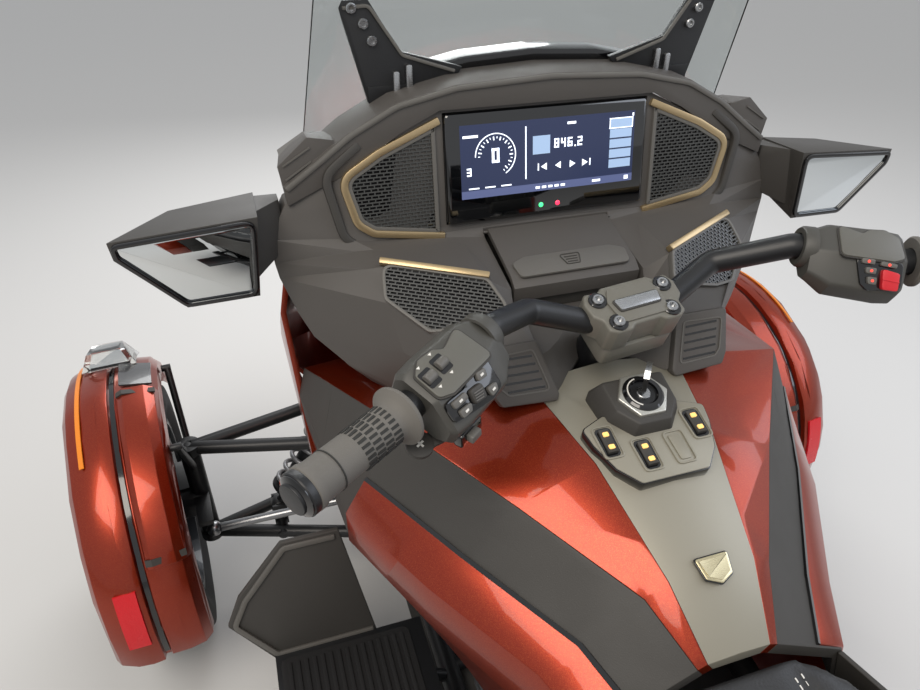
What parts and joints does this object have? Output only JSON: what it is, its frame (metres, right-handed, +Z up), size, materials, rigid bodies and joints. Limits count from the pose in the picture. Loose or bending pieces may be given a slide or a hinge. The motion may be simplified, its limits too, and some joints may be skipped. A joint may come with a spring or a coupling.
{
  "type": "motorized trike",
  "caption": "Touring three-wheeler with steered front wheels under arched guards, a belt-driven rear wheel, faired cockpit, clear screen, padded seat and lidded cases.",
  "frame": {"origin": "on the ground under the middle of the vehicle", "axes": "+X to the rider's right, +Y forward, +Z up"},
  "size_m": [1.6049, 2.833, 1.4639],
  "materials": {
    "alloy": "dark satin cast alloy",
    "amber_lens": "amber and white lamp lens",
    "belt_rubber": "toothed belt rubber",
    "black_gloss": "gloss",
    "black_paint": "satin black coat",
    "charcoal_plastic": "fine grained",
    "clear_screen": "clear polycarbonate",
    "display_glass": "dark display",
    "engine_cast": "cast, dark",
    "grey_plastic": "satin warm grey",
    "grip_rubber": "grey rubber",
    "lens": "clear lamp lens",
    "muffler_steel": "brushed stainless",
    "red_lens": "red lamp lens",
    "red_paint": "metallic pearl gloss",
    "seat_leather": "black upholstery",
    "tyre": "matt tread rubber"
  },
  "bodies": {
    "chassis": {"backrest": "seat_leather", "belly_pan": "charcoal_plastic", "console": "grey_plastic", "console_sides": "red_paint", "dash": "charcoal_plastic", "display": "display_glass", "drive_belt": "belt_rubber", "engine_block": "engine_cast", "foot_deflectors": "charcoal_plastic", "footboards": "charcoal_plastic", "frame": "black_paint", "front_trunk": "charcoal_plastic", "glovebox": "charcoal_plastic", "headlamps": "lens", "lower_sides": "red_paint", "mirrors": "black_gloss", "muffler": "muffler_steel", "nose_fascia": "red_paint", "rear_fender": "charcoal_plastic", "seat": "seat_leather", "seat_sides": "red_paint", "shock_absorbers": "black_paint", "side_cases": "charcoal_plastic", "side_fairing": "red_paint", "steering_rack": "black_paint", "suspension_arms": "black_paint", "swingarm": "black_paint", "tail_body": "red_paint", "tail_lamps": "red_lens", "tank_sides": "black_gloss", "top_case": "charcoal_plastic", "visor": "charcoal_plastic", "windshield": "clear_screen", "windshield_arms": "black_paint"},
    "steering": {"handlebar": "black_paint", "handlebar_clamp": "charcoal_plastic", "switch_housings": "charcoal_plastic", "grips": "grip_rubber"},
    "tie_rods": {"tie_rods": "black_paint"},
    "hood": {"hood": "red_paint"},
    "glovebox_lid": {"glovebox_lid": "charcoal_plastic"},
    "top_case_lid": {"top_case_lid": "red_paint"},
    "side_case_lid_left": {"side_case_lid_left": "red_paint"},
    "side_case_lid_right": {"side_case_lid_right": "red_paint"},
    "passenger_board_left": {"passenger_board_left": "charcoal_plastic"},
    "passenger_board_right": {"passenger_board_right": "charcoal_plastic"},
    "wheel_rear": {"tyre_rear": "tyre", "rim_rear": "alloy"},
    "knuckle_left": {"knuckle_left": "black_paint", "fender_left": "red_paint", "fender_lamp_left": "amber_lens"},
    "wheel_front_left": {"tyre_front_left": "tyre", "rim_front_left": "alloy"},
    "knuckle_right": {"knuckle_right": "black_paint", "fender_right": "red_paint", "fender_lamp_right": "amber_lens"},
    "wheel_front_right": {"tyre_front_right": "tyre", "rim_front_right": "alloy"}
  },
  "joints": [
    {"name": "steering_turn", "type": "hinge", "parent": "chassis", "child": "steering", "pos_m": [0, 0.359, 1.066], "axis": [0, -0.3843, 0.9232], "range_deg": [-39, 27]},
    {"name": "knuckle_left_turn", "type": "hinge", "parent": "chassis", "child": "knuckle_left", "pos_m": [-0.585, 0.966, 0.281], "axis": [0, 0, 1], "range_deg": [-33.2, 23]},
    {"name": "knuckle_right_turn", "type": "hinge", "parent": "chassis", "child": "knuckle_right", "pos_m": [0.585, 0.966, 0.281], "axis": [0, 0, 1], "range_deg": [-33.2, 23]},
    {"name": "tie_rod_slide", "type": "slide", "parent": "chassis", "child": "tie_rods", "axis": [1, 0, 0], "range_m": [-0.0488, 0.0338]},
    {"name": "wheel_rear_spin", "type": "hinge", "parent": "chassis", "child": "wheel_rear", "pos_m": [0, -0.748, 0.303], "axis": [1, 0, 0], "continuous": true},
    {"name": "wheel_front_left_spin", "type": "hinge", "parent": "knuckle_left", "child": "wheel_front_left", "pos_m": [-0.69158, 0.95649, 0.281], "axis": [0.996, 0.0889, 0], "continuous": true},
    {"name": "wheel_front_right_spin", "type": "hinge", "parent": "knuckle_right", "child": "wheel_front_right", "pos_m": [0.69158, 0.97551, 0.281], "axis": [0.996, 0.0889, 0], "continuous": true},
    {"name": "hood_open", "type": "hinge", "parent": "chassis", "child": "hood", "pos_m": [0, 0.768, 1.066], "axis": [1, 0, 0], "range_deg": [0, 60]},
    {"name": "glovebox_open", "type": "hinge", "parent": "chassis", "child": "glovebox_lid", "pos_m": [0, 0.577, 1.034], "axis": [-1, 0, 0], "range_deg": [0, 60]},
    {"name": "top_case_open", "type": "hinge", "parent": "chassis", "child": "top_case_lid", "pos_m": [0, -0.944, 0.928], "axis": [-1, 0, 0], "range_deg": [0, 55]},
    {"name": "side_case_left_open", "type": "hinge", "parent": "chassis", "child": "side_case_lid_left", "pos_m": [-0.33, -0.96, 0.413], "axis": [0, -1, 0], "range_deg": [0, 60]},
    {"name": "side_case_right_open", "type": "hinge", "parent": "chassis", "child": "side_case_lid_right", "pos_m": [0.33, -0.96, 0.413], "axis": [0, 1, 0], "range_deg": [0, 60]},
    {"name": "passenger_board_left_fold", "type": "hinge", "parent": "chassis", "child": "passenger_board_left", "pos_m": [-0.24, -0.425, 0.395], "axis": [0, 1, 0], "range_deg": [0, 80]},
    {"name": "passenger_board_right_fold", "type": "hinge", "parent": "chassis", "child": "passenger_board_right", "pos_m": [0.24, -0.425, 0.395], "axis": [0, -1, 0], "range_deg": [0, 80]}
  ],
  "couplings": [
    {"joint": "knuckle_left_turn", "follows": "steering_turn", "ratio": 0.85},
    {"joint": "knuckle_right_turn", "follows": "steering_turn", "ratio": 0.85},
    {"joint": "tie_rod_slide", "follows": "steering_turn", "m_per_rad": 0.0714}
  ]
}
